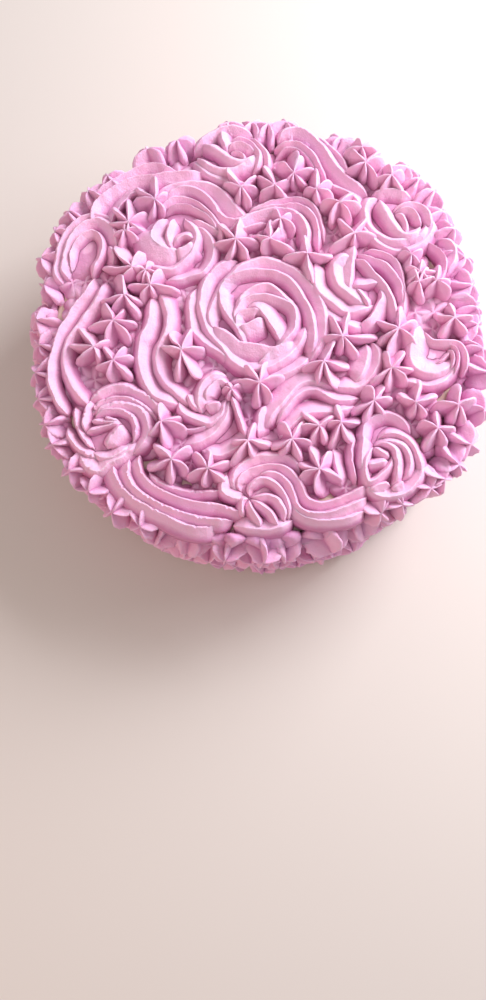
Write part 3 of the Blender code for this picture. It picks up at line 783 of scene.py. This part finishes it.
# %% Places of the stars on top
STARS = {
    "star_back_1": "0,71 | -2,81 -7.8,72 -2.5,60 4.5,58 9.5,67 8,75",
    "star_back_2": "17.5,70 | 14,80 9.5,74 9.5,62 22.8,61.5 24.5,71",
    "star_back_3": "27,76 | 27,86 33.5,82 37.5,75 33,67 27,66 21,69 19,79",
    "star_back_4": "37,66 | 36,75 30.5,63 37,55.5 44.5,58 45,66",
    "star_back_5": "46.5,58.5 | 36.5,54 41.5,44.5 49.5,44 56.5,50 53,61",
    "star_back_6": "61.5,77.5 | 52,82 50,71 59,65 66,62.5 71,73.5 68,82",
    "star_back_left_1": "-41.5,69.5 | -41.7,80 -50,75 -52,66 -45,57.5 -37,59.5 -34.5,71",
    "star_back_left_2": "-54.2,59.5 | -52.5,70 -61,66 -64,58.5 -55,49 -46,52 -43.5,60",
    "star_back_left_3": "-53.5,35.5 | -59,47.5 -67.5,37 -60,29.5 -46,30 -45,40",
    "star_back_left_4": "-46.7,26 | -57,26 -50.5,16 -44,17.5 -32,20 -37,30 -47,34",
    "star_left_1": "-58.8,22 | -62.5,31 -70,19 -64.5,12.5 -52,8.5 -49.5,17",
    "star_left_2": "-65.2,10 | -77,6.5 -70,17 -67,-3.5 -57,-3.5 -53.5,6.5 -59,14",
    "star_left_3": "-74,-1.5 | -80.5,8 -86,-1 -83,-10 -71,-12 -66,0",
    "star_left_4": "-65.2,-9.8 | -70,-4 -74,-13 -66,-22 -57,-21 -54.5,-11.5 -60,-4",
    "star_front_left_1": "-45.2,-41.3 | -42.5,-33 -52,-49 -43.5,-55 -34,-50 -35.5,-41",
    "star_front_left_2": "-42.8,-58.6 | -49.5,-52 -53.5,-63 -44,-72 -35.5,-68.5 -31.5,-56.5",
    "star_front_left_3": "-26.6,-65.1 | -25.3,-57 -32.5,-58 -36,-70 -27.5,-75 -18,-73.5 -15,-64.5",
    "star_front_1": "-6,-54.2 | -15.5,-66.5 -3,-64 4,-58 -14,-55 -3,-47",
    "star_front_2": "13,-55.5 | 3,-58.5 6,-64 16,-68 22,-61 20,-49 8,-48",
    "star_front_3": "26,-50.3 | 19,-43.5 14.5,-53.5 22,-61 29,-60 33,-47",
    "star_front_4": "35.8,-49.6 | 35,-42 44.5,-50 41,-61 29.5,-63 28,-52",
    "star_front_5": "24.6,-70.2 | 21.3,-59.5 31.5,-64 33.5,-77.5 23,-83 15,-77 14.5,-67.5",
    "star_middle_1": "-33.3,-7.6 | -43,-6 -36,1 -29,2 -22.5,-11 -25.5,-23.5 -37,-24",
    "star_middle_2": "0.5,-27.5 | -6,-20 7,-19.5 12.5,-27 4.5,-39 -2,-40 -12,-28",
    "star_middle_3": "40.6,-9 | 35,0.5 45,3 57,-12 47,-22 38,-19 30,-12.5",
    "star_middle_4": "30.7,-19.8 | 34.5,-10 20,-24.5 26,-33 37.5,-34.5 42.5,-24",
    "star_middle_5": "28.3,33 | 30,41 16.5,29 26.5,16.5 32.5,15.5 41,30",
    "star_middle_6": "-3.5,45 | -15.5,41 -10,32.5 1,31.5 7.5,39 1,53 -9,53",
    "star_middle_7": "12.6,42.8 | 4,44 8,34 24,33 20.5,45 14,51",
    "star_right_1": "52,41.5 | 46,49 39.5,31 51,32 62.5,36 58,47",
    "star_right_2": "68,-8.6 | 58,-4 55.5,-16 61.5,-24.5 71.5,-22.5 76,-8 69.5,1",
    "star_right_3": "61.8,-27 | 59,-19.5 66,-19.5 50,-35.5 58,-39 67.5,-36.5 71.5,-29",
    "star_right_4": "51.8,-41.2 | 40.5,-47 46,-54 55,-50 60,-43 55,-34 47,-35",
    "star_right_5": "70.5,-44 | 62.5,-40 66.5,-52 73,-53 80,-42 72,-34",
    "star_right_6": "79,13 | 72.5,8 79,2 88,10 84,18 74.5,19",
}

# %% [markdown]
# The peak of a star stands higher than that level and its tips stand lower, so each place
# slides along the line of sight to its own height before the star is made.

# %% Stars on top
LEVEL = 66.0
CAMERA_PLACE = (0.5, -140.2, 397.5)
PEAK_OVER_COAT, TIPS_OVER_COAT = 11, 3
STAR_HEIGHT = 10.0


def at_height(place, z):
    """A place x, y seen at LEVEL, moved along the line of sight to another height."""
    eye_x, eye_y, eye_z = CAMERA_PLACE
    grow = (eye_z - z) / (eye_z - LEVEL)
    return eye_x + (place[0] - eye_x) * grow, eye_y + (place[1] - eye_y) * grow


for number, name in enumerate(sorted(STARS)):
    (middle,), tips = map(read_places, STARS[name].split("|"))
    x, y = at_height(middle, TOP + PEAK_OVER_COAT)
    tips = [at_height(tip, TOP + TIPS_OVER_COAT) for tip in tips]
    tips = [(tip[0] - x, tip[1] - y) for tip in tips]
    made = star((x, y, TOP), tips, STAR_HEIGHT, 100 + 3 * number)
    piece(name + "_cream", [made], TOP_CREAM, name)
print(len(STARS), "stars on top")

# %% [markdown]
# Small stars were squeezed in between the others, and low drops were pressed out
# everywhere before the large pieces, and show in the gaps. Both are too many to be solids
# of their own, so they are made here, all of one kind in one piece.

# %% Small stars and low drops
# x, y and radius of the squeezed stars
SMALL_STARS = (
    (-56.5, 54, 8), (-47, 33, 7), (18, 51, 8), (73, 67, 9), (80, 18, 9), (76.5, 26, 7),
    (92, -6, 10), (78, -58, 10), (88, -48, 10), (-12, -30, 6), (87, 12, 9), (60, 84, 9),
)
small = [
    star((x, y, TOP), round_tips(5, radius, 700 + number), 9.5, 300 + number)
    for number, (x, y, radius) in enumerate(SMALL_STARS)
]
piece("small_stars", small, TOP_CREAM)

# x, y and radius of the few places where the coat is bare
BARE = (
    (-19, -93, 9), (10, -95, 10), (52, 86, 8), (90, 40, 7), (-20, 99, 7),
    (-38, -70, 6), (-50, -25, 7), (-57, -60, 6), (-48, -30, 6),
)
COLUMN_STEP, ROW_STEP = 9.6, 8.6
BED_RADIUS = 92
DROP_HEIGHT = 2.8
SWIRL_BOXES = [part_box(name) for name in SWIRLS]


def under_swirl(x, y):
    """Whether a place is hidden under the middle of a swirl."""
    return any(
        math.hypot(
            (2 * x * MM - low.x - high.x) / (high.x - low.x),
            (2 * y * MM - low.y - high.y) / (high.y - low.y),
        ) < 0.7
        for low, high in SWIRL_BOXES
    )


dice = np.random.default_rng(17)
bed = []
for row in range(-11, 12):
    for column in range(-11, 12):
        x = COLUMN_STEP * (column + 0.5 * (row % 2)) + dice.uniform(-2, 2)
        y = ROW_STEP * row + dice.uniform(-2, 2)
        radius = dice.uniform(7.5, 9.5)
        seed = int(dice.integers(1000, 9000))
        bare = any(math.hypot(x - bx, y - by) < size for bx, by, size in BARE)
        if math.hypot(x, y) < BED_RADIUS and not under_swirl(x, y) and not bare:
            tips = round_tips(4, radius, seed)
            # pale=0.5 paints the low drops darker: painted shade in the gaps between the large
            # pieces
            drop = star((x, y, TOP), tips, DROP_HEIGHT, seed + 1, thick=6.0, rows=6, pale=0.5)
            bed.append(drop)
thing = piece("bed_of_drops", bed, TOP_CREAM)
print(len(small), "small stars,", len(bed), "low drops with", len(thing.data.polygons), "faces")

# %% [markdown]
# More stars sit on the rim and lean outwards. Their edges are torn, because the nozzle
# was pulled away sideways.

# %% Stars on the rim
RIM_STARS = (
    (-93, 32.5), (-27, 97.5), (-42, 95), (99, 11), (96.5, -48), (76, -76), (47, -88), (56, -86),
    (89, -62), (100, -20), (101, -30), (-97, 15), (62, 82), (-2, 104), (9, 103), (17, 101),
    (25, 101), (49, 90), (56, 87), (78, 71), (83, 65), (89, 58), (91, 47), (95, 38), (98, 24),
    (100, 0), (99, -8), (-60, 84), (-70, 77), (-80, 68), (-87, 58), (-94, 46), (-97, 3),
    (-99, -10), (-98, -22), (-96, -34), (-93, -44), (-86, -57), (-78, -67), (-68, -76),
    (-56, -84), (70, -80), (83, -70),
)
INWARDS, SUNK = 0.985, 4
OUTWARD_LEAN = 0.7
leaning = []
for number, (x, y) in enumerate(RIM_STARS):
    place = (INWARDS * x, INWARDS * y, TOP - SUNK)
    tilt = (OUTWARD_LEAN, math.atan2(y, x))
    tips = round_tips(5, 9.5, 730 + number, 0.3)
    leaning.append(star(place, tips, 9.0, 330 + number, tilt, thick=2.6, torn=0.8))
piece("rim_stars", leaning, SIDE_CREAM_SOFTER_PAINTED_LIGHT)
print(len(leaning), "stars on the rim")

# %% [markdown]
# Round the side the stars point outwards in three staggered rows. Each row is one piece,
# as its stars melt into each other, and it stands for one ring of the frame. The hand
# shakes a little: places, sizes and lean all vary. Under each star lies a low broad drop,
# so no coat shows between them.

# %% Stars round the side
ROUND = 42
UPRIGHT = math.pi / 2
dice = np.random.default_rng(8)
for row, name in enumerate(("side_stars_low", "side_stars_middle", "side_stars_high")):
    low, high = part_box(name)
    level = (low.z + high.z) / 2 / MM
    made = []
    for number in range(ROUND):
        around = math.tau * (number + 0.5 * (row % 2) + dice.uniform(-0.25, 0.25)) / ROUND
        z = level + dice.uniform(-3, 3)
        radius = dice.uniform(8.5, 12.5)
        place = (COAT_RADIUS * math.cos(around), COAT_RADIUS * math.sin(around), z)
        seed = 800 + 50 * row + number
        tips = round_tips(int(dice.integers(4, 7)), radius, seed, 0.3)
        tilt = (UPRIGHT + dice.uniform(-0.4, 0.4), around)
        height = dice.uniform(9.5, 11.5)
        made.append(star(place, tips, height, seed + 200, tilt, thick=2.4, torn=1.3))
        drop, tilt = round_tips(5, 13.5, seed + 400), (UPRIGHT, around)
        # pale=0.4 paints the broad drops darker: painted shade between the side stars
        made.append(star(place, drop, 5.0, seed + 600, tilt, thick=6.5, rows=7, pale=0.4))
    thing = piece(name + "_cream", made, SIDE_CREAM_SOFTER_PAINTED_LIGHT, name)
    print(name, len(thing.data.polygons), "faces")

# %% [markdown]
# A plain pale floor under soft studio light. A cool window at the back right gives every
# fin a bright and a shaded side, a smaller light over the right rim makes that side the
# palest, a warm bounce from the front left lifts the shade, and the sky fills the rest.

# %% Floor and lights
def pale_paper_material():
    """Matt paper, a warm light grey."""
    material, _, shader = new_material("pale_paper")
    shader.inputs["Base Color"].default_value = linear("#d6cfc5")
    shader.inputs["Roughness"].default_value = 0.8
    return material


bpy.ops.mesh.primitive_plane_add(size=6.0, location=(0, 0, -0.0002))
floor = bpy.context.object
floor.name = "floor"
floor.data.materials.append(pale_paper_material())


def area_light(name, place, size, power, code):
    """A square light that faces the top of the cake."""
    data = bpy.data.lights.new(name, "AREA")
    data.size = size
    data.energy = power
    data.color = linear(code)[:3]
    light = bpy.data.objects.new(name, data)
    light.location = place
    towards = light.location - Matrix.Translation((0, 0, 0.05)).translation
    light.rotation_mode = "QUATERNION"
    light.rotation_quaternion = towards.to_track_quat("Z", "Y")
    bpy.context.scene.collection.objects.link(light)


area_light("window", (0.62, 0.42, 0.5), 0.45, 10.5, "#f8f6ff")
area_light("wall", (0.38, 0.06, 0.3), 0.25, 1.1, "#f6f2ff")
area_light("bounce", (-0.7, -0.5, 0.5), 0.9, 3.1, "#ffcdb0")
world = bpy.data.worlds.new("pale_sky")
bpy.context.scene.world = world
world.use_nodes = True
world.node_tree.nodes["Background"].inputs["Color"].default_value = linear("#f1eef4")
world.node_tree.nodes["Background"].inputs["Strength"].default_value = 0.54
bpy.context.scene.view_settings.view_transform = "Standard"
print("floor, lights and sky in place")

# %% [markdown]
# The camera has the photograph's own viewing angle: 79 degrees down.

# %% Camera
CAMERA_RIGHT = (0.99481, -0.08773, -0.05147)
CAMERA_UP = (0.09532, 0.98070, 0.17070)
CAMERA_BACK = (0.03550, -0.17472, 0.98398)
LENS = 27.04
camera_data = bpy.data.cameras.new("camera")
camera_data.lens = LENS
camera_data.sensor_width = 36.0
camera_data.clip_start = 0.01
camera = bpy.data.objects.new("camera", camera_data)
bpy.context.scene.collection.objects.link(camera)
axes = Matrix((CAMERA_RIGHT, CAMERA_UP, CAMERA_BACK)).transposed()
camera.matrix_world = Matrix.Translation([c * MM for c in CAMERA_PLACE]) @ axes.to_4x4()
bpy.context.scene.camera = camera
print("camera with a", LENS, "mm lens")
